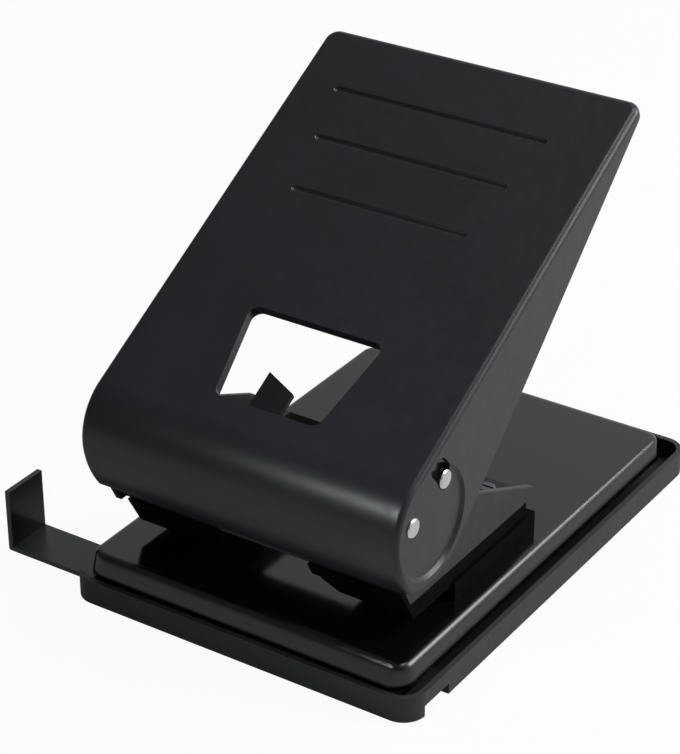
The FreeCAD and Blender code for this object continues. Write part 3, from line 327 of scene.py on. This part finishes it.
# ---------------------------------------------------------------- floor and light
# The floor is plain white to the camera but for a small share that takes the shadow, and
# glossy surfaces see a share of the same white in it.
FLOOR_REACH = 4.0
FLOOR_COLOUR = (0.5, 0.5, 0.5, 1)
WHITE_SEEN = 0.945
WHITE_MIRRORED = 0.12
ROOM_BRIGHT_SIDE = (0.4, 0.85, 0.2)
ROOM_DIM, ROOM_BRIGHT = 0.16, 1.05
ROOM_FADE = (-0.05, 0.9)
WHITE = (1, 1, 1, 1)


def share(tree, source, amount):
    node = add(tree, "ShaderNodeMath", operation="MULTIPLY")
    node.inputs[1].default_value = amount
    tree.links.new(source, node.inputs[0])
    return node.outputs[0]


def floor_white():
    material = bpy.data.materials.new("floor_white")
    material.use_nodes = True
    tree = material.node_tree
    tree.nodes.clear()
    out = add(tree, "ShaderNodeOutputMaterial")
    path = add(tree, "ShaderNodeLightPath")
    diffuse = add(tree, "ShaderNodeBsdfDiffuse")
    diffuse.inputs["Color"].default_value = FLOOR_COLOUR
    glow = add(tree, "ShaderNodeEmission")
    glow.inputs["Strength"].default_value = 1.0
    part = add(tree, "ShaderNodeMath", operation="MAXIMUM")
    tree.links.new(share(tree, path.outputs["Is Camera Ray"], WHITE_SEEN), part.inputs[0])
    tree.links.new(share(tree, path.outputs["Is Glossy Ray"], WHITE_MIRRORED), part.inputs[1])
    mix = add(tree, "ShaderNodeMixShader")
    tree.links.new(part.outputs[0], mix.inputs["Fac"])
    tree.links.new(diffuse.outputs[0], mix.inputs[1])
    tree.links.new(glow.outputs[0], mix.inputs[2])
    tree.links.new(mix.outputs[0], out.inputs["Surface"])
    return material


def make_floor():
    mesh = bpy.data.meshes.new("floor")
    corners = [
        (x * FLOOR_REACH, y * FLOOR_REACH, 0) for x, y in ((-1, -1), (1, -1), (1, 1), (-1, 1))
    ]
    mesh.from_pydata(corners, [], [(0, 1, 2, 3)])
    mesh.materials.append(floor_white())
    floor = bpy.data.objects.new("floor", mesh)
    bpy.context.scene.collection.objects.link(floor)


def make_room():
    """A studio that is bright behind and to the right of the punch and dim in front of it."""
    world = bpy.data.worlds.new("studio")
    bpy.context.scene.world = world
    world.use_nodes = True
    tree = world.node_tree
    tree.nodes.clear()
    out = add(tree, "ShaderNodeOutputWorld")
    path = add(tree, "ShaderNodeLightPath")
    place = add(tree, "ShaderNodeTexCoord")
    facing = add(tree, "ShaderNodeVectorMath", operation="DOT_PRODUCT")
    facing.inputs[1].default_value = ROOM_BRIGHT_SIDE
    tree.links.new(place.outputs["Generated"], facing.inputs[0])
    room = add(tree, "ShaderNodeBackground")
    strength = ramp(tree, facing.outputs["Value"], ROOM_DIM, ROOM_BRIGHT, ROOM_FADE)
    tree.links.new(strength, room.inputs["Strength"])
    white = add(tree, "ShaderNodeBackground")
    white.inputs["Color"].default_value = WHITE
    white.inputs["Strength"].default_value = 1.0
    mix = add(tree, "ShaderNodeMixShader")
    tree.links.new(path.outputs["Is Camera Ray"], mix.inputs["Fac"])
    tree.links.new(room.outputs[0], mix.inputs[1])
    tree.links.new(white.outputs[0], mix.inputs[2])
    tree.links.new(mix.outputs[0], out.inputs["Surface"])


def lamp(name, position, target, size, power, spread=180, colour=(1, 1, 1)):
    """A square or oblong area lamp of so many watts, with its spread in degrees."""
    data = bpy.data.lights.new(name, "AREA")
    data.shape = "RECTANGLE"
    data.size, data.size_y = size
    data.energy = power
    data.spread = math.radians(spread)
    data.color = colour
    thing = bpy.data.objects.new(name, data)
    bpy.context.scene.collection.objects.link(thing)
    thing.location = position
    aim = Vector(target) - Vector(position)
    thing.rotation_euler = aim.to_track_quat("-Z", "Y").to_euler()


make_floor()
make_room()
lamp("key", (0.2, 0.3, 1.9), (0, 0, 0.06), (0.7, 0.7), 10.5)
lamp("side", (1.0, 0.8, 0.9), (0, 0, 0.03), (1.0, 1.0), 24)
lamp(
    "accent", (-0.05, -0.36, 0.24), (0.08, -0.09, 0.07), (0.1, 0.06), 0.04,
    spread=60, colour=(0.93, 1.0, 1.0),
)
bpy.context.scene.view_settings.view_transform = "Standard"
